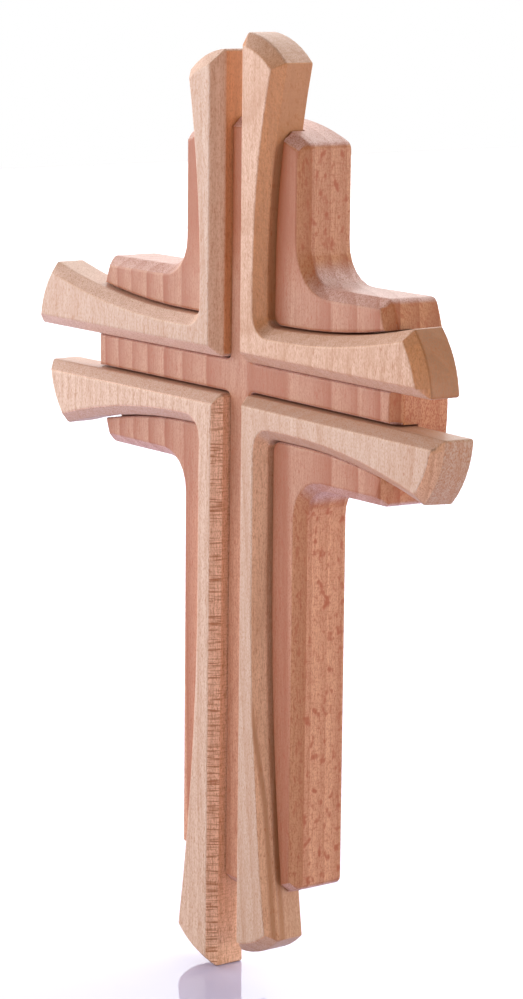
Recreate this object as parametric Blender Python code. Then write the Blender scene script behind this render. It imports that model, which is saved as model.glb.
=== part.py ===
"""Wooden cross for a wall: a Latin back cross of reddish beech with four pale L-shaped corner pieces.

Each corner piece is let into a shallow recess in the front of the back cross, so a raised strip in the
shape of a cross is left standing between them. The limbs and arms of the corner pieces run past the ends
of the back cross and flare towards their arched ends, each limb and arm with its own length.

Metres, +Z up, front towards -Y. The origin is on the flat back face, behind the crossing.
"""

import math

import bmesh
import bpy

MM = 0.001

# Back cross
BOARD_THICKNESS = 18.7 * MM
BEAM_WIDTH = 64.4 * MM
ARM_HEIGHT = 62.8 * MM
TOP_REACH = 81.1 * MM
BOTTOM_REACH = 167.5 * MM
ARM_REACH = 81.8 * MM
ARM_SHIFT = -0.9 * MM
RIGHT_END_LEAN = 1.9 * MM
BEAM_END_RADIUS = 80.0 * MM
ARM_END_RADIUS = 78.0 * MM
ARMPIT_RADIUS = 9.8 * MM
WIDE_ARMPIT_RADIUS = 12.7 * MM
BOARD_CORNER_RADIUS = 2.8 * MM
BOARD_CHAMFER = 3.2 * MM

# Corner pieces, measured from the centre lines of the cross
PIECE_OUTER_EDGE = 17.5 * MM
PIECE_SUNK = 8.0 * MM
PIECE_CHAMFER = 3.4 * MM
PIECE_END_RADIUS = 32.0 * MM
PIECE_ARMPIT_RADIUS = 4.0 * MM
PIECE_HEEL_RADIUS = 1.6 * MM
PIECE_CORNER_RADIUS = 0.9 * MM

# Each corner piece: side is -1 left or 1 right, level is -1 low or 1 high. gap_x and gap_z are the distances
# from the centre lines to its inner edges, which are chamfered by hand, each to its own width, and proud is
# how far it stands out of the board. The limb is its upright bar and the arm its level bar: reach is how far
# the bar runs from the centre, flare how much its outer edge swings out at the end, start where that curve
# begins, swing how far the inner edge has moved out at the end, crest where the arched end runs out
# furthest, chamfer how far its chamfer goes back and lean how far the end leans back from rear to front.
PIECES = {
    "corner_upper_left": {
        "side": -1,
        "level": 1,
        "gap_x": 5.4 * MM,
        "gap_z": 5.4 * MM,
        "chamfer_x": 4.0 * MM,
        "chamfer_z": 3.4 * MM,
        "proud": 5.5 * MM,
        "limb": {
            "reach": 102.1 * MM, "flare": 7.6 * MM, "start": 26.0 * MM, "swing": 0.0,
            "crest": 4.5 * MM, "chamfer": 4.6 * MM, "lean": 0.0,
        },
        "arm": {
            "reach": 111.8 * MM, "flare": 11.1 * MM, "start": 28.0 * MM, "swing": 0.0,
            "crest": 4.5 * MM, "chamfer": 3.4 * MM, "lean": 0.0,
        },
    },
    "corner_upper_right": {
        "side": 1,
        "level": 1,
        "gap_x": 5.9 * MM,
        "gap_z": 5.4 * MM,
        "chamfer_x": 1.8 * MM,
        "chamfer_z": 3.4 * MM,
        "proud": 5.5 * MM,
        "limb": {
            "reach": 107.7 * MM, "flare": 10.2 * MM, "start": 34.0 * MM, "swing": 0.0,
            "crest": 4.0 * MM, "chamfer": 4.1 * MM, "lean": 0.0,
        },
        "arm": {
            "reach": 99.0 * MM, "flare": 8.7 * MM, "start": 27.0 * MM, "swing": -0.7 * MM,
            "crest": 3.0 * MM, "chamfer": 3.7 * MM, "lean": 0.8 * MM,
        },
    },
    "corner_lower_left": {
        "side": -1,
        "level": -1,
        "gap_x": 5.5 * MM,
        "gap_z": 6.3 * MM,
        "chamfer_x": 2.0 * MM,
        "chamfer_z": 3.4 * MM,
        "proud": 5.5 * MM,
        "limb": {
            "reach": 196.2 * MM, "flare": 10.9 * MM, "start": 66.0 * MM, "swing": 0.7 * MM,
            "crest": 4.5 * MM, "chamfer": 3.4 * MM, "lean": 0.0,
        },
        "arm": {
            "reach": 105.6 * MM, "flare": 11.3 * MM, "start": 24.0 * MM, "swing": 0.0,
            "crest": 4.5 * MM, "chamfer": 3.4 * MM, "lean": 0.0,
        },
    },
    "corner_lower_right": {
        "side": 1,
        "level": -1,
        "gap_x": 5.9 * MM,
        "gap_z": 5.2 * MM,
        "chamfer_x": 1.9 * MM,
        "chamfer_z": 2.9 * MM,
        "proud": 4.8 * MM,
        "limb": {
            "reach": 187.1 * MM, "flare": 9.6 * MM, "start": 58.0 * MM, "swing": 0.0,
            "crest": 4.5 * MM, "chamfer": 3.4 * MM, "lean": 0.0,
        },
        "arm": {
            "reach": 105.9 * MM, "flare": 11.4 * MM, "start": 32.0 * MM, "swing": 1.2 * MM,
            "crest": 4.5 * MM, "chamfer": 2.9 * MM, "lean": 1.6 * MM,
        },
    },
}

# Fits and softened edges
SIDE_CLEARANCE = 0.6 * MM
FLOOR_CLEARANCE = 0.3 * MM
RECESS_EDGE_RADIUS = 1.0 * MM
EASED_EDGE = 0.5 * MM
CUT_MARGIN = 2.0 * MM

# Facets along curves
CORNER_STEPS = 4
ARMPIT_STEPS = 6
END_STEPS = 7
FLARE_STEPS = 7
LIP_STEPS = 3

# Levels along Y
BOARD_FRONT = -BOARD_THICKNESS
PIECE_REAR = BOARD_FRONT + PIECE_SUNK
RECESS_FLOOR = PIECE_REAR + FLOOR_CLEARANCE


def rounded(corners):
    """Replace each (x, z, radius, steps) corner by an arc; plain (x, z) points are kept."""
    points = []
    count = len(corners)
    for i, corner in enumerate(corners):
        x, z = corner[:2]
        if len(corner) == 2:
            points.append((x, z))
            continue
        radius, steps = corner[2:]
        before = corners[i - 1]
        after = corners[(i + 1) % count]
        start = math.atan2(before[1] - z, before[0] - x)
        turn = (math.atan2(after[1] - z, after[0] - x) - start) % (2 * math.pi)
        if turn > math.pi:
            turn -= 2 * math.pi
        half = abs(turn) / 2
        to_centre = radius / math.sin(half)
        middle = start + turn / 2
        cx = x + to_centre * math.cos(middle)
        cz = z + to_centre * math.sin(middle)
        sweep = math.copysign(math.pi - abs(turn), turn)
        for k in range(steps + 1):
            angle = middle + math.pi + sweep * (0.5 - k / steps)
            points.append((cx + radius * math.cos(angle), cz + radius * math.sin(angle)))
    return points


def end_arc(reach, radius, crest, low, high, steps):
    """Points (along, across) of an arched end, from across = low to across = high."""
    points = []
    for k in range(steps + 1):
        across = low + (high - low) * k / steps
        points.append((reach - radius + math.sqrt(radius**2 - (across - crest) ** 2), across))
    return points


def board_outline(inset, lean):
    """The back cross seen from the front, its edges moved in by inset and the right arm's end by lean."""
    half_beam = BEAM_WIDTH / 2 - inset
    half_arm = ARM_HEIGHT / 2 - inset
    beam_radius = BEAM_END_RADIUS - inset
    corner = (max(BOARD_CORNER_RADIUS - inset, 0.0), CORNER_STEPS)
    armpit = (ARMPIT_RADIUS + inset, ARMPIT_STEPS)
    wide_armpit = (WIDE_ARMPIT_RADIUS + inset, ARMPIT_STEPS)
    steps = 2 * END_STEPS
    arm = end_arc(ARM_REACH - inset, ARM_END_RADIUS - inset, 0.0, -half_arm, half_arm, steps)
    right = [(x + ARM_SHIFT - lean, z) for x, z in arm]
    left = [(-x + ARM_SHIFT, z) for x, z in arm]
    top = end_arc(TOP_REACH - inset, beam_radius, 0.0, -half_beam, half_beam, steps)
    bottom = end_arc(BOTTOM_REACH - inset, beam_radius, 0.0, -half_beam, half_beam, steps)
    corners = [(*right[0], *corner)]
    corners += right[1:-1]
    corners += [(*right[-1], *corner), (half_beam, half_arm, *wide_armpit)]
    corners += [(top[-1][1], top[-1][0], *corner)]
    corners += [(x, z) for z, x in reversed(top[1:-1])]
    corners += [(top[0][1], top[0][0], *corner), (-half_beam, half_arm, *armpit)]
    corners += [(*left[-1], *corner)]
    corners += reversed(left[1:-1])
    corners += [(*left[0], *corner), (-half_beam, -half_arm, *armpit)]
    corners += [(bottom[0][1], -bottom[0][0], *corner)]
    corners += [(x, -z) for z, x in bottom[1:-1]]
    corners += [(bottom[-1][1], -bottom[-1][0], *corner), (half_beam, -half_arm, *armpit)]
    return rounded(corners)


def bar(shape, inner, inset, end_inset):
    """Corners (along, across) of one bar of a corner piece, from its inner end corner back to the root."""

    def outer(along):
        """How far the outer edge stands from the centre line."""
        swing = max(along - shape["start"], 0.0) / (tip - shape["start"])
        return PIECE_OUTER_EDGE + shape["flare"] * swing**2 - inset

    reach = shape["reach"] - end_inset
    radius = PIECE_END_RADIUS - end_inset
    crest = shape["crest"]
    tip = shape["reach"] - crest
    along = tip
    for _ in range(8):
        along = reach - radius + math.sqrt(radius**2 - (outer(along) - crest) ** 2)
    corner = (max(PIECE_CORNER_RADIUS - inset, 0.0), CORNER_STEPS)
    arc = end_arc(reach, radius, crest, inner + shape["swing"], outer(along), END_STEPS)
    points = [(*arc[0], *corner)]
    points += arc[1:-1]
    points += [(*arc[-1], *corner)]
    start = shape["start"]
    for k in range(1, FLARE_STEPS + 1):
        station = along + (start - along) * k / FLARE_STEPS
        points.append((station, outer(station)))
    return points


def even_insets(inset):
    """The same inset on every edge of a corner piece."""
    return {"outer": inset, "x": inset, "z": inset, "limb": inset, "arm": inset}


def side_insets(piece, share):
    """Insets where the sides of a corner piece have come a share of the way from rear to front."""
    return even_insets(0.0) | {name: piece[name]["lean"] * share for name in ("limb", "arm")}


def front_insets(piece):
    """Insets of the front face of a corner piece, inside its chamfers."""
    ends = {name: piece[name]["lean"] + piece[name]["chamfer"] for name in ("limb", "arm")}
    return {"outer": PIECE_CHAMFER, "x": piece["chamfer_x"], "z": piece["chamfer_z"]} | ends


def piece_outline(piece, insets):
    """A corner piece seen from the front, with its edges moved in."""
    outer = insets["outer"]
    left = piece["gap_x"] + insets["x"]
    low = piece["gap_z"] + insets["z"]
    root = PIECE_OUTER_EDGE - outer
    arm = bar(piece["arm"], low, outer, insets["arm"])
    limb = bar(piece["limb"], left, outer, insets["limb"])
    corners = [(left, low, max(PIECE_HEEL_RADIUS - outer, 0.0), CORNER_STEPS)]
    corners += arm
    corners += [(root, root, PIECE_ARMPIT_RADIUS + outer, ARMPIT_STEPS)]
    corners += [(across, along, *rest) for along, across, *rest in reversed(limb)]
    return [(x * piece["side"], z * piece["level"]) for x, z in rounded(corners)]


def lofted(name, levels):
    """A closed solid from matching outlines, each given as (y, points)."""
    mesh = bmesh.new()
    rings = []
    for y, points in levels:
        rings.append([mesh.verts.new((x, y, z)) for x, z in points])
    count = len(rings[0])
    for front, rear in zip(rings, rings[1:]):
        for i in range(count):
            j = (i + 1) % count
            mesh.faces.new((front[i], front[j], rear[j], rear[i]))
    mesh.faces.new(rings[0])
    mesh.faces.new(rings[-1])
    bmesh.ops.remove_doubles(mesh, verts=mesh.verts, dist=0.01 * MM)
    bmesh.ops.recalc_face_normals(mesh, faces=mesh.faces)
    data = bpy.data.meshes.new(name)
    mesh.to_mesh(data)
    mesh.free()
    thing = bpy.data.objects.new(name, data)
    bpy.context.scene.collection.objects.link(thing)
    return thing


def ease_edges(thing):
    """Sand the sharp edges round."""
    bevel = thing.modifiers.new("Eased edges", "BEVEL")
    bevel.width = EASED_EDGE
    bevel.segments = 2
    bevel.limit_method = "ANGLE"
    bevel.angle_limit = math.radians(32)


def back_cross():
    """The reddish back cross, before its recesses are cut."""
    chamfer_lean = RIGHT_END_LEAN * (1 - BOARD_CHAMFER / BOARD_THICKNESS)
    levels = [
        (BOARD_FRONT, board_outline(BOARD_CHAMFER, RIGHT_END_LEAN)),
        (BOARD_FRONT + BOARD_CHAMFER, board_outline(0.0, chamfer_lean)),
        (0.0, board_outline(0.0, 0.0)),
    ]
    thing = lofted("back_cross", levels)
    ease_edges(thing)
    return thing


def corner_piece(name, piece):
    """One pale L-shaped piece."""
    front = BOARD_FRONT - piece["proud"]
    share = 1 - PIECE_CHAMFER / (PIECE_REAR - front)
    levels = [
        (front, piece_outline(piece, front_insets(piece))),
        (front + PIECE_CHAMFER, piece_outline(piece, side_insets(piece, share))),
        (PIECE_REAR, piece_outline(piece, even_insets(0.0))),
    ]
    thing = lofted(name, levels)
    ease_edges(thing)
    return thing


def recess_cutter(name, piece):
    """The space a corner piece is let into, with a rounded lip where it opens."""
    lip = SIDE_CLEARANCE + RECESS_EDGE_RADIUS
    levels = [(BOARD_FRONT - CUT_MARGIN, piece_outline(piece, even_insets(-lip)))]
    for k in range(LIP_STEPS + 1):
        turn = math.pi / 2 * k / LIP_STEPS
        spread = lip - RECESS_EDGE_RADIUS * math.sin(turn)
        depth = RECESS_EDGE_RADIUS * (1 - math.cos(turn))
        levels.append((BOARD_FRONT + depth, piece_outline(piece, even_insets(-spread))))
    levels.append((RECESS_FLOOR, piece_outline(piece, even_insets(-SIDE_CLEARANCE))))
    thing = lofted(name, levels)
    thing.hide_render = True
    thing.display_type = "WIRE"
    return thing


def cut(thing, cutter):
    """Subtract the cutter from the thing."""
    boolean = thing.modifiers.new("Recess", "BOOLEAN")
    boolean.operation = "DIFFERENCE"
    boolean.solver = "EXACT"
    boolean.object = cutter


def linear(hex_colour):
    """A linear RGBA colour from an sRGB hex code."""
    channels = [int(hex_colour[i : i + 2], 16) / 255 for i in (1, 3, 5)]
    return [c / 12.92 if c <= 0.04045 else ((c + 0.055) / 1.055) ** 2.4 for c in channels] + [1.0]


def wood(name, hex_colour, roughness):
    """Bare sanded wood."""
    material = bpy.data.materials.new(name)
    material.use_nodes = True
    shader = next(n for n in material.node_tree.nodes if n.type == "BSDF_PRINCIPLED")
    shader.inputs["Base Color"].default_value = linear(hex_colour)
    shader.inputs["Roughness"].default_value = roughness
    shader.inputs["Metallic"].default_value = 0.0
    return material


def main():
    """Build the cross."""
    for thing in list(bpy.data.objects):
        bpy.data.objects.remove(thing, do_unlink=True)
    cross = back_cross()
    cross.data.materials.append(wood("Reddish steamed beech", "#CF9C80", 0.55))
    for name, piece in PIECES.items():
        cut(cross, recess_cutter("recess_" + name, piece))
        thing = corner_piece(name, piece)
        thing.data.materials.append(wood("Pale beech " + name, "#E2BE9C", 0.5))


main()
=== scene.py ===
"""Wooden wall cross: a reddish beech cross with four pale beech corner pieces let into its front.

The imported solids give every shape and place. Here each piece gets its smooth sanded surface and its wood.
"""

import math

import bpy
from bpy.props import FloatProperty, FloatVectorProperty, PointerProperty
from mathutils import Matrix, Vector


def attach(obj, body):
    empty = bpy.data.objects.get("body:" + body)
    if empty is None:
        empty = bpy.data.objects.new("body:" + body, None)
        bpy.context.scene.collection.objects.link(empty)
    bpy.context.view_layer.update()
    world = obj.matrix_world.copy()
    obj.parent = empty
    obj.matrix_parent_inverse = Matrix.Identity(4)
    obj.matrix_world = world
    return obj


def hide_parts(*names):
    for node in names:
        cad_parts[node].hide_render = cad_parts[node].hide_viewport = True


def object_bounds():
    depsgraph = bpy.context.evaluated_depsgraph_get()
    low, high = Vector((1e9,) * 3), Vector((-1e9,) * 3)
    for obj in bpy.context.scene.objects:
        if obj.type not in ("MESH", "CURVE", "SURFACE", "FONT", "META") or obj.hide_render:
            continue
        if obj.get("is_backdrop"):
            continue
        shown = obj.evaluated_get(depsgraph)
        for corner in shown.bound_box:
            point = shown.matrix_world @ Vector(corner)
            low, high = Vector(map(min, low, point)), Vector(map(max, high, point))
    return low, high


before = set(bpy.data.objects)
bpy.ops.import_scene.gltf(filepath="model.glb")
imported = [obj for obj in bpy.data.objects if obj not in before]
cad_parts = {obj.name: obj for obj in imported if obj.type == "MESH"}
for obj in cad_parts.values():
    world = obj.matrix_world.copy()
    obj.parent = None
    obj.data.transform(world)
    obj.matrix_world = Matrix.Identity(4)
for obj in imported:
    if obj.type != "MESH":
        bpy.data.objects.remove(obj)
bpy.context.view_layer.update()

bl_info = {
    "name": "Wooden wall cross",
    "version": (1, 0, 0),
    "blender": (4, 5, 0),
    "location": "3D View > Sidebar > Cross",
    "description": "Finishes the pieces of a beech wall cross and sets up its studio",
    "category": "Object",
}

MM = 0.001
BODY = "root"

# The sanded surface: points closer than this are one, faces that turn less are one flat, and edges that turn less
# are smooth. The weight is how much large faces rule the shading round them. A flat of more than this area is
# never shaded as if it leaned more than this.
WELD_DISTANCE = 0.01 * MM
FLAT_ANGLE = math.radians(0.5)
SMOOTH_ANGLE = math.radians(26)
NORMAL_WEIGHT = 50
FLAT_AREA = 5 * MM**2
FLAT_LEAN = math.radians(12)

# How much a face has to turn to a side, from not at all to fully, to count as what the name says.
FRONT_TURN = (0.82, 0.97)
SIDE_TURN = (0.945, 0.975)
END_TURN = (0.35, 0.8)

# An arm end is a face this far out, in mm, that turns this much outwards and not more than this to the front.
ARM_END_PLACE = (76.0, 79.0)
ARM_END_TURN = (0.5, 0.65)
ARM_END_FRONT = (0.5, 0.8)

# The noises of the wood: their detail, their roughness and what each adds to the seed of its piece.
NOISES = {
    "wander": (2.0, 0.45, 0),
    "fibre": (3.0, 0.65, 5),
    "streak": (2.0, 0.5, 9),
    "rays": (1.0, 0.5, 13),
    "threads": (2.0, 0.6, 17),
    "curl": (2.0, 0.55, 21),
    "speckle": (1.0, 0.5, 31),
    "dash": (1.0, 0.5, 41),
}

# The size of a patch of each, in mm across, in depth and in height. Real pores are under 0.1 mm wide, too fine for
# the picture, so speckle and dash are drawn coarser. Threads are at most as tall as given.
WANDER_PATCH = (22, 22, 70)
STREAK_PATCH = (2.0, 2.0, 70)
CURL_PATCH = (0.5, 3.0, 2.4)
SPECKLE_PATCH = (0.38, 0.38, 0.8)
DASH_PATCH = (0.42, 0.42, 2.4)
THREAD_HEIGHT = 0.5

# From which noise to which a mark shows, and from and to what share of its dark colour. Where only the noise is
# given, the share is below, or in the cuts. Speckle is stronger on cut ends, and rays are weaker on end grain.
STREAK_SHOWS = (0.4, 0.75, 0.0, 0.22)
FIBRE_SHOWS = (0.42, 0.68, 0.0, 0.34)
DASH_SHOWS = (0.60, 0.74, 0.0, 0.55)
TORN_SHOWS = (0.45, 0.62, 0.0, 0.4)
SPECKLE_SHOWS = (0.45, 0.70)
THREAD_SHOWS = (0.5, 0.75)
CURL_SHOWS = (0.45, 0.7)
SPECKLE_SHARE = 0.45
SPECKLE_SHARE_MORE = 0.15
THREAD_SHARE = 0.5
RAYS_ON_END = (0.0, 0.6, 1.0, 0.15)
CURL_SLANT = math.radians(35)

# A year ring darkens up to this share of its width. The rings differ in strength by the second share.
RING_EDGE = 0.90
RING_CHANCE = 0.25

# Where heart wood begins, in mm: the width of its edge, the line along it and the height over which it fades.
HEART_EDGE = 0.7
HEART_LINE = (0.1, 0.7)
HEART_FADE = 20

# The share of the warm colour in the redder wood, and how far the painted light from the floor, which makes the
# wood lighter towards the foot, shows on front, chamfers and sides.
REDDER_WARMTH = 0.8
FLOOR_LIGHT_FACES = (1.0, 0.0, 0.5)

ROUGHNESS_RANGE = 0.16
BUMP_STRENGTH = 0.6

# How each board was sawn from its trunk, and what shows on it. Lengths are in mm. Five numbers are for the flat
# front, the chamfers, the sides, the end grain and the arm ends, and three are for the first three.
#   pith     the middle of the year rings, across and in depth from the middle of the crossing
#   ring     the width of a year ring
#   start    the radius at which one ring ends
#   lean     how far the rings lean out of the upright, across and in depth
#   wander   how far the rings stray
#   late     how narrow the dark part of a ring is
#   rays     the reach of a ray out from the pith, its thickness and its height
#   level    the noise from which a ray begins to show, and that from which it shows fully
#   rings    the strength of the year rings
#   warmth   the share of the warm edge colour: partly the wood's own colour where the rays lie open, partly
#            painted shade, as faces in shade look deeper and warmer
#   shade    the brightness of each face: painted light and shade for how the lamps fall on it, beside the
#            wood's own tone
#   figure   the strength of the rays
#   heart    where redder wood begins: a direction, the distance along it, the redness, the darkness of the line
#            along its edge, and the height above which both fade
#   redder   the heights between which the front turns redder, and by how much
#   lighter  painted light from the floor: the heights between which the wood is painted lighter towards the
#            foot, and how many times
#   ripple   the strength of a slanting curl
#   seed     what sets its noise apart
PLAIN_CUT = dict(
    start=0, wander=1.8, late=2.4, rays=(4, 0.5, 2.4), level=(0.56, 0.74), figure=(0.1, 0.3, 0.3),
    heart=None, redder=None, lighter=None, ripple=0.0)

CUTS = {
    "back_cross": dict(
        PLAIN_CUT, pith=(15, -95), ring=6.0, start=77.4, lean=(0.03, 0.0), wander=0.8, late=1.4,
        rays=(2.6, 0.9, 3.2), level=(0.53, 0.74), rings=(1.1, 1.0, 0.5, 0.4, 0.5),
        warmth=(0.0, 0.95, 0.45, 0.0, 1.0), shade=(1.06, 0.93, 1.1, 1.05, 0.92), figure=(0.15, 0.55, 0.8),
        heart=((0.93, -0.36, 0), 79.4, 0.5, 0.0, 200), redder=(25, 50, 0.78), lighter=(-30, -60, 1.27),
        seed=0.0),
    "corner_upper_left": dict(
        PLAIN_CUT, pith=(-60, -150), ring=3.4, lean=(0.01, 0.02), late=3.0, rings=(0.35, 0.3, 0.35, 0.2, 0.3),
        warmth=(0.0, 0.42, 0.8, 0.02, 0.5), shade=(0.98, 1.03, 1.06, 1.07, 1.0), figure=(0.1, 0.25, 0.25),
        seed=11.0),
    "corner_upper_right": dict(
        PLAIN_CUT, pith=(5, 60), ring=5.0, start=2.2, lean=(0.02, 0.16), rings=(0.5, 0.45, 0.6, 0.3, 0.7),
        warmth=(0.2, 0.9, 0.85, 0.2, 0.9), shade=(1.1, 1.0, 0.79, 0.95, 0.5), ripple=0.3, seed=23.0),
    "corner_lower_left": dict(
        PLAIN_CUT, pith=(110, 95), ring=3.6, lean=(0.0, 0.01), late=3.0,
        rays=(9, 2.4, 0.5), level=(0.46, 0.72), rings=(0.4, 0.1, 0.3, 0.2, 0.3),
        warmth=(0.0, 0.3, 0.36, 0.1, 0.5), shade=(1.12, 1.52, 1.42, 0.8, 1.0), figure=(0.02, 0.8, 0.3),
        seed=37.0),
    "corner_lower_right": dict(
        PLAIN_CUT, pith=(70, -90), ring=4.2, lean=(0.03, -0.06), rings=(0.5, 0.5, 0.5, 0.4, 0.6),
        warmth=(0.02, 0.58, 0.52, 0.2, 0.2), shade=(1.0, 1.18, 0.97, 0.74, 0.82),
        heart=((1, -0.4, 0.13), 10.8, 0.2, 0.95, -112), seed=53.0),
}
CORNER_PIECES = ("corner_upper_left", "corner_upper_right", "corner_lower_left", "corner_lower_right")

FLOOR_ROUGHNESS = 0.05

# The width and the place of each soft box, in metres.
SOFT_BOXES = {
    "key": (1.1, (-1.27, -0.72, 0.36)),
    "front": (0.9, (0.0, -1.48, 0.26)),
    "fill": (0.35, (1.15, -0.96, 0.0)),
    "side": (0.4, (1.44, 0.38, 0.02)),
}

# Which ways the bright wall and the bright corner lie, and how sharply they end.
WALL_WAY = (0, 1, 0)
CORNER_WAY = (-0.805, 0.593, 0)
WALL_EDGE = 0.7

# The point the camera looks at, its sensor and its lens, all in mm, and how near and far it sees, in metres.
CAMERA_AIM = (10.08, -16.76, -38.31)
SENSOR = 36.0
LENS = 112.07
CLIP = (0.01, 50)


def linear(text):
    """The linear colour of an sRGB hex value."""
    values = [int(text[k:k + 2], 16) / 255 for k in (1, 3, 5)]
    return [v / 12.92 if v <= 0.04045 else ((v + 0.055) / 1.055) ** 2.4 for v in values]


def opaque(rgb):
    """A colour with its alpha, as a colour socket takes it."""
    return (*rgb, 1.0)


def colour(name, description, text):
    """A colour that a user can change."""
    return FloatVectorProperty(
        name=name, description=description, subtype="COLOR", size=3, min=0, max=1, default=linear(text))


def length(name, description, millimetres):
    """A length that a user can change, in metres."""
    return FloatProperty(
        name=name, description=description, unit="LENGTH", subtype="DISTANCE", min=0, precision=5,
        default=millimetres * MM)


def angle(name, description, degrees):
    """An angle that a user can change."""
    return FloatProperty(name=name, description=description, subtype="ANGLE", default=math.radians(degrees))


def power(name, description, watts):
    """The power of a light, that a user can change."""
    return FloatProperty(name=name, description=description, unit="POWER", default=watts)


def share(name, description, default):
    """A share from 0 to 1 that a user can change."""
    return FloatProperty(name=name, description=description, subtype="FACTOR", min=0, max=1, default=default)


class CrossSteamedBeech(bpy.types.PropertyGroup):
    """Colours of the reddish steamed beech of the back cross."""

    face: colour("Face", "Early wood on the flat front", "#C39374")
    # Edge is partly painted shade, as chamfers and sides in shade look deeper and warmer. End grain is partly a
    # painted highlight, paler than bare end grain for the bright wall that glances off the tops.
    edge: colour("Edge", "Early wood on the chamfers and sides, where the rays lie open", "#D89969")
    end: colour("End grain", "Cut ends of the fibres", "#DCB6AA")
    late: colour("Late wood", "The dark end of each year ring", "#A3572C")
    fleck: colour("Fleck", "Ray flecks and pores", "#AC5228")


class CrossPaleBeech(bpy.types.PropertyGroup):
    """Colours of the pale beech of the corner pieces."""

    face: colour("Face", "Early wood on the flat front", "#D9BDA4")
    # Edge is partly painted shade, as chamfers and sides in shade look deeper and warmer. End grain is partly a
    # painted highlight, paler than bare end grain for the bright wall that glances off the tops.
    edge: colour("Edge", "Early wood on the chamfers and sides, where the rays lie open", "#DA9256")
    end: colour("End grain", "Cut ends of the fibres", "#DEBCA8")
    late: colour("Late wood", "The dark end of each year ring", "#B67C50")
    fleck: colour("Fleck", "Ray flecks and pores", "#AD6228")


class CrossFigure(bpy.types.PropertyGroup):
    """Sizes of the figure of beech."""

    fibre_width: length("Fibre width", "Width of one bundle of fibres, drawn coarse enough to show", 0.5)
    fibre_length: length("Fibre length", "Length of one bundle of fibres", 7)
    relief: length("Relief", "Depth of the open grain after sanding", 0.03)
    roughness: share("Roughness", "Roughness of the bare, finely sanded wood", 0.48)


class CrossStudio(bpy.types.PropertyGroup):
    """The floor, the lights and the camera."""

    floor_size: length("Floor size", "Width of the glossy floor", 6000)
    floor_colour: colour("Floor colour", "White acrylic sheet", "#D2D3F2")
    camera_distance: length("Camera distance", "From the camera to the point it looks at", 981.1)
    camera_azimuth: angle("Camera azimuth", "Turn round the upright, from straight in front", 53.63)
    camera_elevation: angle("Camera elevation", "Height of the view above the level", 10.3)
    camera_roll: angle("Camera roll", "Tilt of the picture", 0.6)
    key_power: power("Key power", "Soft light from the left", 17)
    front_power: power("Front power", "Soft light in front", 6.0)
    fill_power: power("Fill power", "Soft light near the camera", 3)
    side_power: power("Side power", "Low light on the right", 4.7)
    light_tint: colour("Light tint", "Colour of all the soft boxes", "#FFF8F6")
    wall: FloatProperty(name="Wall", description="Brightness of the white wall behind the cross", default=1.34)
    corner: FloatProperty(
        name="Corner", description="Extra brightness of the corner the camera looks to", default=1.5)
    surround: share("Surround", "Brightness of the rest of the room", 0.05)


def add_node(tree, kind, inputs=None, **settings):
    """Adds a shader node, makes its settings, then fills each input with a value or a link."""
    node = tree.nodes.new("ShaderNode" + kind)
    for name, value in settings.items():
        setattr(node, name, value)
    for name, value in (inputs or {}).items():
        if isinstance(value, bpy.types.NodeSocket):
            tree.links.new(value, node.inputs[name])
        else:
            node.inputs[name].default_value = value
    return node


def maths(tree, operation, first, second=0.0, third=0.0):
    """The result of one sum on the way to a pattern."""
    return add_node(tree, "Math", {0: first, 1: second, 2: third}, operation=operation).outputs[0]


def product(tree, first, *others):
    """All the values multiplied."""
    for other in others:
        first = maths(tree, "MULTIPLY", first, other)
    return first


def scaled(tree, vector, factor):
    """A place or a colour times a number."""
    return add_node(tree, "VectorMath", {0: vector, "Scale": factor}, operation="SCALE").outputs[0]


def along(tree, vector, way):
    """How far a vector goes along a direction."""
    return add_node(tree, "VectorMath", {0: vector, 1: way}, operation="DOT_PRODUCT").outputs["Value"]


def spread(tree, value, low, high, to_low=0.0, to_high=1.0):
    """The value taken smoothly from one range to another, held at its ends."""
    inputs = {"Value": value, "From Min": low, "From Max": high, "To Min": to_low, "To Max": to_high}
    return add_node(tree, "MapRange", inputs, interpolation_type="SMOOTHSTEP").outputs["Result"]


def blend(tree, factor, first, second):
    """Two colours mixed by a factor."""
    return add_node(tree, "Mix", {0: factor, 6: first, 7: second}, data_type="RGBA").outputs[2]


def blend_value(tree, factor, first, second):
    """Two numbers mixed by a factor."""
    return add_node(tree, "Mix", {0: factor, 2: first, 3: second}).outputs[0]


def noise(tree, place, name, patch, seed):
    """The named noise, with patches as large as given, in mm."""
    detail, roughness, step = NOISES[name]
    scale = [1 / size for size in patch]
    place = add_node(tree, "Mapping", {"Vector": place, "Scale": scale, "Location": [seed + step] * 3}).outputs[0]
    inputs = {"Vector": place, "Scale": 1.0, "Detail": detail, "Roughness": roughness}
    return add_node(tree, "TexNoise", inputs).outputs["Fac"]


def in_trunk(tree, cut, spot):
    """The distance from the pith, and the place as a distance, an arc round the pith and a height."""
    x, y, z = spot
    across = maths(tree, "SUBTRACT", x, cut["pith"][0])
    across = maths(tree, "MULTIPLY_ADD", z, cut["lean"][0], across)
    depth = maths(tree, "SUBTRACT", y, cut["pith"][1])
    depth = maths(tree, "MULTIPLY_ADD", z, cut["lean"][1], depth)
    from_pith = add_node(tree, "CombineXYZ", {0: across, 1: depth}).outputs[0]
    radius = add_node(tree, "VectorMath", {0: from_pith}, operation="LENGTH").outputs["Value"]
    arc = product(tree, maths(tree, "ARCTAN2", depth, across), math.hypot(*cut["pith"]))
    return radius, add_node(tree, "CombineXYZ", {0: radius, 1: arc, 2: z}).outputs[0]


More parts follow.
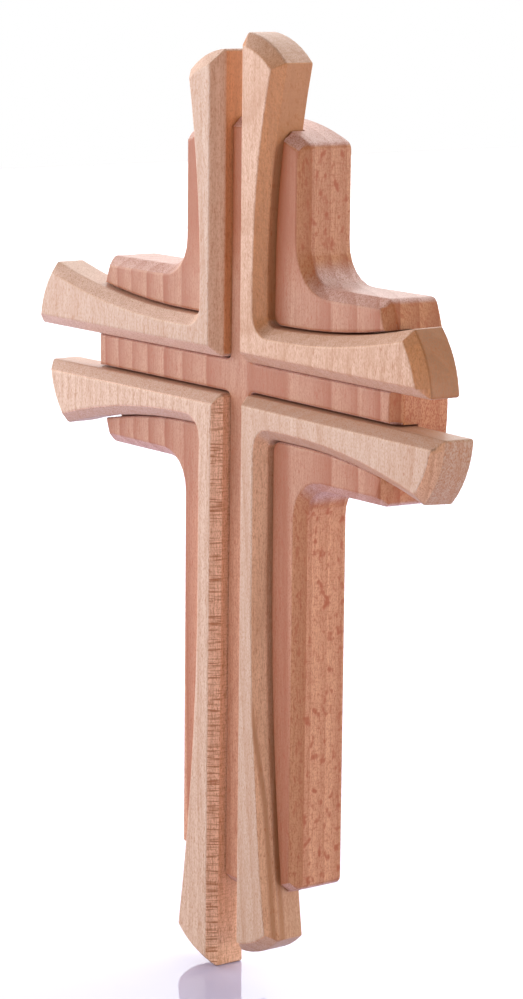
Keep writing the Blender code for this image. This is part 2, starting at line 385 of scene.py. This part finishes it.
def year_rings(tree, cut, radius):
    """How dark the year rings are. Each goes slowly from early to late wood, and ends sharply."""
    year = maths(tree, "MULTIPLY_ADD", radius, 1 / cut["ring"], -cut["start"] / cut["ring"])
    age = maths(tree, "FRACT", year)
    rise = maths(tree, "POWER", age, cut["late"])
    fall = spread(tree, age, RING_EDGE, 1.0, 1.0, 0.0)
    which = maths(tree, "FLOOR", year)
    chance = add_node(tree, "TexWhiteNoise", {"W": which}, noise_dimensions="1D").outputs["Value"]
    return product(tree, rise, fall, maths(tree, "MULTIPLY_ADD", chance, RING_CHANCE, 1 - RING_CHANCE))


def find_faces(tree, x):
    """How far a point is on the flat front, on a side, on end grain and on a sawn arm end, each from 0 to 1."""
    normal = add_node(tree, "NewGeometry").outputs["Normal"]
    parts = add_node(tree, "SeparateXYZ", {0: normal}).outputs
    to_side, to_front, to_end = [maths(tree, "ABSOLUTE", part) for part in parts]
    sawn = product(
        tree, spread(tree, maths(tree, "ABSOLUTE", x), *ARM_END_PLACE), spread(tree, to_side, *ARM_END_TURN),
        spread(tree, to_front, *ARM_END_FRONT, 1.0, 0.0))
    return {
        "front": spread(tree, to_front, *FRONT_TURN),
        "side": spread(tree, to_side, *SIDE_TURN),
        "end": blend_value(tree, sawn, spread(tree, to_end, *END_TURN), 0.0),
        "sawn": sawn,
    }


def by_face(tree, faces, front, chamfer, side, end=None, arm_end=None):
    """The value for the face that a point is on."""
    value = blend_value(tree, faces["side"], chamfer, side)
    value = blend_value(tree, faces["front"], value, front)
    if end is not None:
        value = blend_value(tree, faces["end"], value, end)
        value = blend_value(tree, faces["sawn"], value, arm_end)
    return value


def early_wood(tree, colours, cut, faces):
    """The ground colour on each face, with painted light and shade in its warmth and brightness per face."""
    wood = blend(tree, by_face(tree, faces, *cut["warmth"]), opaque(colours.face), opaque(colours.edge))
    cut_end = blend(tree, cut["warmth"][3], opaque(colours.end), opaque(colours.edge))
    wood = blend(tree, faces["end"], wood, cut_end)
    # Painted light and shade: each face is made lighter or darker for the light that falls on it.
    return scaled(tree, wood, by_face(tree, faces, *cut["shade"]))


def heart_wood(tree, wood, colours, cut, place, height, wander):
    """The wood with redder wood beyond a plane through the trunk, and a dark line where it begins."""
    way, start, redness, darkness, top = cut["heart"]
    reach = maths(tree, "ADD", along(tree, place, way), wander)
    from_edge = maths(tree, "ABSOLUTE", maths(tree, "SUBTRACT", reach, start))
    beyond = spread(tree, reach, start, start + HEART_EDGE, 0.0, redness)
    line = spread(tree, from_edge, *HEART_LINE, darkness, 0.0)
    fade = spread(tree, height, top, top + HEART_FADE, 1.0, 0.0)
    return blend(tree, product(tree, maths(tree, "MAXIMUM", beyond, line), fade), wood, opaque(colours.late))


def redder_upwards(tree, wood, colours, cut, height, faces):
    """The wood with its front redder towards the top."""
    low, high, most = cut["redder"]
    redness = product(tree, spread(tree, height, low, high, 0.0, most), faces["front"])
    wood = blend(tree, product(tree, redness, REDDER_WARMTH), wood, opaque(colours.edge))
    return blend(tree, redness, wood, opaque(colours.late))


def painted_floor_light(tree, wood, cut, height, faces):
    """Painted light: the wood lighter towards the foot, standing in for light that the floor throws up."""
    high, low, most = cut["lighter"]
    gain = spread(tree, height, low, high, most, 1.0)
    return scaled(tree, wood, blend_value(tree, by_face(tree, faces, *FLOOR_LIGHT_FACES), 1.0, gain))


def add_rays(tree, wood, colours, cut, ray_place, faces):
    """The wood with its rays, which are thin upright ribbons that run out from the pith.

    Between them lie fainter threads, twice as thick and at most half as tall.
    """
    reach, thickness, tall = cut["rays"]
    rays = noise(tree, ray_place, "rays", cut["rays"], cut["seed"])
    rays = spread(tree, rays, *cut["level"])
    threads = (reach, thickness * 2, min(tall / 2, THREAD_HEIGHT))
    threads = noise(tree, ray_place, "threads", threads, cut["seed"])
    threads = spread(tree, threads, *THREAD_SHOWS)
    strength = product(tree, by_face(tree, faces, *cut["figure"]), spread(tree, faces["end"], *RAYS_ON_END))
    wood = blend(tree, product(tree, rays, strength), wood, opaque(colours.fleck))
    return blend(tree, product(tree, threads, strength, THREAD_SHARE), wood, opaque(colours.fleck))


def beech(name, colours, figure, cut):
    """Beech, planed, cut out with a bandsaw and finely sanded, without lacquer.

    To the eye it is a pale, even wood with a satin sheen. Its year rings show as soft bands with one sharp edge,
    its rays as short brown dashes on the flat-sawn front and as orange-brown flecks on the faces at right angles
    to it. The sawn ends of the arms are rough and speckled.
    """
    material = bpy.data.materials.new(name)
    material.use_nodes = True
    tree = material.node_tree
    tree.nodes.clear()
    late = opaque(colours.late)
    fleck = opaque(colours.fleck)
    seed = cut["seed"]

    place = scaled(tree, add_node(tree, "TexCoord").outputs["Object"], 1 / MM)
    spot = add_node(tree, "SeparateXYZ", {0: place}).outputs
    height = spot[2]
    faces = find_faces(tree, spot[0])
    radius, ray_place = in_trunk(tree, cut, spot)
    wander = noise(tree, place, "wander", WANDER_PATCH, seed)
    wander = maths(tree, "MULTIPLY_ADD", wander, cut["wander"], -cut["wander"] / 2)

    wood = early_wood(tree, colours, cut, faces)
    if cut["heart"]:
        wood = heart_wood(tree, wood, colours, cut, place, height, wander)
    if cut["redder"]:
        wood = redder_upwards(tree, wood, colours, cut, height, faces)
    # Painted light: the wood is made lighter towards the foot for the light that the floor throws up.
    if cut["lighter"]:
        wood = painted_floor_light(tree, wood, cut, height, faces)
    rings = year_rings(tree, cut, maths(tree, "ADD", radius, wander))
    wood = blend(tree, product(tree, rings, by_face(tree, faces, *cut["rings"])), wood, late)

    # Bundles of fibres run upright, across the arms too.
    bundle = (figure.fibre_width / MM, figure.fibre_width / MM, figure.fibre_length / MM)
    fibre = noise(tree, place, "fibre", bundle, seed)
    streak = noise(tree, place, "streak", STREAK_PATCH, seed)
    wood = blend(tree, spread(tree, streak, *STREAK_SHOWS), wood, late)
    wood = blend(tree, spread(tree, fibre, *FIBRE_SHOWS), wood, late)

    # Pores are points on cut ends and short dashes along the grain.
    speckle = noise(tree, place, "speckle", SPECKLE_PATCH, seed)
    ends = maths(tree, "MAXIMUM", faces["end"], faces["sawn"])
    pores = maths(tree, "MULTIPLY_ADD", ends, SPECKLE_SHARE_MORE, SPECKLE_SHARE)
    wood = blend(tree, product(tree, spread(tree, speckle, *SPECKLE_SHOWS), pores), wood, late)
    wood = blend(tree, product(tree, spread(tree, speckle, *TORN_SHOWS), faces["sawn"]), wood, fleck)
    dash = noise(tree, place, "dash", DASH_PATCH, seed)
    wood = blend(tree, spread(tree, dash, *DASH_SHOWS), wood, fleck)

    wood = add_rays(tree, wood, colours, cut, ray_place, faces)
    if cut["ripple"]:
        slant = add_node(tree, "Mapping", {"Vector": place, "Rotation": (0, CURL_SLANT, 0)}).outputs[0]
        curl = noise(tree, slant, "curl", CURL_PATCH, seed)
        wood = blend(tree, spread(tree, curl, *CURL_SHOWS, 0.0, cut["ripple"]), wood, late)

    roughness = maths(tree, "MULTIPLY_ADD", fibre, ROUGHNESS_RANGE, figure.roughness - ROUGHNESS_RANGE / 2)
    bump = add_node(tree, "Bump", {"Strength": BUMP_STRENGTH, "Distance": figure.relief, "Height": fibre})
    shader = add_node(
        tree, "BsdfPrincipled", {"Base Color": wood, "Roughness": roughness, "Normal": bump.outputs[0]})
    add_node(tree, "OutputMaterial", {"Surface": shader.outputs[0]})
    return material


def hold_flats(mesh):
    """Keeps the shading of a flat from leaning over at a corner where rounded edges run together."""
    normals = []
    for face in mesh.polygons:
        for corner in face.loop_indices:
            normal = mesh.corner_normals[corner].vector
            leans = face.area > FLAT_AREA and normal.angle(face.normal) > FLAT_LEAN
            normals.append((face.normal if leans else normal)[:])
    mesh.normals_split_custom_set(normals)


def finished_copy(name):
    """A copy of a solid with its facets merged into smooth sanded arcs and crisp flats."""
    bpy.ops.object.select_all(action="DESELECT")
    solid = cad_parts[name]
    piece = bpy.data.objects.new(name + "_sanded", solid.data.copy())
    bpy.context.scene.collection.objects.link(piece)
    piece.select_set(True)
    bpy.context.view_layer.objects.active = piece
    bpy.ops.object.mode_set(mode="EDIT")
    bpy.ops.mesh.select_all(action="SELECT")
    bpy.ops.mesh.remove_doubles(threshold=WELD_DISTANCE)
    bpy.ops.mesh.dissolve_limited(angle_limit=FLAT_ANGLE)
    bpy.ops.object.mode_set(mode="OBJECT")
    bpy.ops.object.shade_smooth_by_angle(angle=SMOOTH_ANGLE)
    weighted = piece.modifiers.new("Flats", "WEIGHTED_NORMAL")
    weighted.keep_sharp = True
    weighted.weight = NORMAL_WEIGHT
    bpy.ops.object.modifier_apply(modifier=weighted.name)
    hold_flats(piece.data)
    piece.select_set(False)
    return piece


def dress(name, material):
    """Gives the sanded copy of a solid its wood and puts it in the solid's place."""
    piece = finished_copy(name)
    piece.data.materials.clear()
    piece.data.materials.append(material)
    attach(piece, BODY)
    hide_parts(name)


class CROSS_OT_back_cross(bpy.types.Operator):
    """Finish the back cross in reddish steamed beech."""

    bl_idname = "cross.back_cross"
    bl_label = "Back Cross"

    def execute(self, context):
        scene = context.scene
        wood = beech("steamed_beech", scene.cross_steamed, scene.cross_figure, CUTS["back_cross"])
        dress("back_cross", wood)
        return {"FINISHED"}


class CROSS_OT_corner_pieces(bpy.types.Operator):
    """Finish the four corner pieces in pale beech."""

    bl_idname = "cross.corner_pieces"
    bl_label = "Corner Pieces"

    def execute(self, context):
        scene = context.scene
        for name in CORNER_PIECES:
            wood = beech("pale_beech_" + name, scene.cross_pale, scene.cross_figure, CUTS[name])
            dress(name, wood)
        return {"FINISHED"}


def glossy_floor(rgb):
    """White acrylic sheet: bright, with a clear reflection at the low angle of the view."""
    material = bpy.data.materials.new("white_acrylic")
    material.use_nodes = True
    tree = material.node_tree
    tree.nodes.clear()
    inputs = {"Base Color": opaque(rgb), "Roughness": FLOOR_ROUGHNESS}
    shader = add_node(tree, "BsdfPrincipled", inputs)
    add_node(tree, "OutputMaterial", {"Surface": shader.outputs[0]})
    return material


def soft_light(name, watts, tint, size, place):
    """A square soft box that faces the crossing."""
    data = bpy.data.lights.new(name, "AREA")
    data.energy = watts
    data.size = size
    data.color = tint
    light = bpy.data.objects.new(name, data)
    bpy.context.scene.collection.objects.link(light)
    place = Vector(place)
    light.visible_camera = False
    light.location = place
    light.rotation_euler = place.to_track_quat("Z", "Y").to_euler()


def pale_room(studio):
    """A white room whose far wall and corner are brightly lit, as for a picture on white.

    The camera sees plain white on every side.
    """
    world = bpy.data.worlds.new("pale_room")
    world.use_nodes = True
    tree = world.node_tree
    tree.nodes.clear()
    way = add_node(tree, "TexCoord").outputs["Generated"]
    glow = studio.surround
    for bright_way, brightness in ((WALL_WAY, studio.wall), (CORNER_WAY, studio.corner)):
        towards = along(tree, way, bright_way)
        glow = maths(tree, "ADD", spread(tree, towards, 0.0, WALL_EDGE, 0.0, brightness), glow)
    seen = add_node(tree, "LightPath").outputs["Is Camera Ray"]
    inputs = {"Color": opaque((1, 1, 1)), "Strength": blend_value(tree, seen, glow, 1.0)}
    background = add_node(tree, "Background", inputs)
    add_node(tree, "OutputWorld", {"Surface": background.outputs[0]})
    bpy.context.scene.world = world


def view_axes(azimuth, elevation, roll):
    """The camera's right, up and backward axes."""
    level = math.cos(elevation)
    back = Vector((math.sin(azimuth) * level, -math.cos(azimuth) * level, math.sin(elevation)))
    right = Vector((math.cos(azimuth), math.sin(azimuth), 0))
    up = back.cross(right)
    turned_right = right * math.cos(roll) + up * math.sin(roll)
    turned_up = up * math.cos(roll) - right * math.sin(roll)
    return turned_right, turned_up, back


def set_camera(studio):
    """Puts the camera where the view is that of the photo."""
    data = bpy.data.cameras.new("camera")
    data.sensor_width = SENSOR
    data.lens = LENS
    data.clip_start, data.clip_end = CLIP
    camera = bpy.data.objects.new("camera", data)
    bpy.context.scene.collection.objects.link(camera)
    axes = view_axes(studio.camera_azimuth, studio.camera_elevation, studio.camera_roll)
    place = Vector(CAMERA_AIM) * MM + axes[2] * studio.camera_distance
    camera.matrix_world = Matrix.Translation(place) @ Matrix(axes).transposed().to_4x4()
    bpy.context.scene.camera = camera


class CROSS_OT_studio(bpy.types.Operator):
    """Set up the pale floor, the soft lights and the camera."""

    bl_idname = "cross.studio"
    bl_label = "Studio"

    def execute(self, context):
        studio = context.scene.cross_studio
        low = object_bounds()[0]
        bpy.ops.object.select_all(action="DESELECT")
        bpy.ops.mesh.primitive_plane_add(size=studio.floor_size, location=(0, 0, low.z))
        floor = context.object
        floor.name = "glossy_floor"
        floor.data.materials.append(glossy_floor(studio.floor_colour))
        floor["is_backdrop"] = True
        pale_room(studio)
        for name, (size, place) in SOFT_BOXES.items():
            soft_light(name, getattr(studio, name + "_power"), studio.light_tint, size, place)
        set_camera(studio)
        context.scene.view_settings.view_transform = "Standard"
        return {"FINISHED"}


class CROSS_PT_panel(bpy.types.Panel):
    """The steps that finish the cross."""

    bl_label = "Wooden Wall Cross"
    bl_idname = "CROSS_PT_panel"
    bl_space_type = "VIEW_3D"
    bl_region_type = "UI"
    bl_category = "Cross"

    def draw(self, context):
        for operator in OPERATORS:
            self.layout.operator(operator.bl_idname)


GROUPS = (CrossSteamedBeech, CrossPaleBeech, CrossFigure, CrossStudio)
OPERATORS = (CROSS_OT_back_cross, CROSS_OT_corner_pieces, CROSS_OT_studio)


def register():
    """Adds the classes and the settings to Blender."""
    for item in (*GROUPS, *OPERATORS, CROSS_PT_panel):
        bpy.utils.register_class(item)
    bpy.types.Scene.cross_steamed = PointerProperty(type=CrossSteamedBeech)
    bpy.types.Scene.cross_pale = PointerProperty(type=CrossPaleBeech)
    bpy.types.Scene.cross_figure = PointerProperty(type=CrossFigure)
    bpy.types.Scene.cross_studio = PointerProperty(type=CrossStudio)


def unregister():
    """Takes them away again."""
    for name in ("cross_steamed", "cross_pale", "cross_figure", "cross_studio"):
        delattr(bpy.types.Scene, name)
    for item in reversed((*GROUPS, *OPERATORS, CROSS_PT_panel)):
        bpy.utils.unregister_class(item)


def main():
    """Finishes the cross piece by piece."""
    register()
    bpy.ops.cross.back_cross()
    bpy.ops.cross.corner_pieces()
    bpy.ops.cross.studio()


if __name__ == "__main__":
    main()
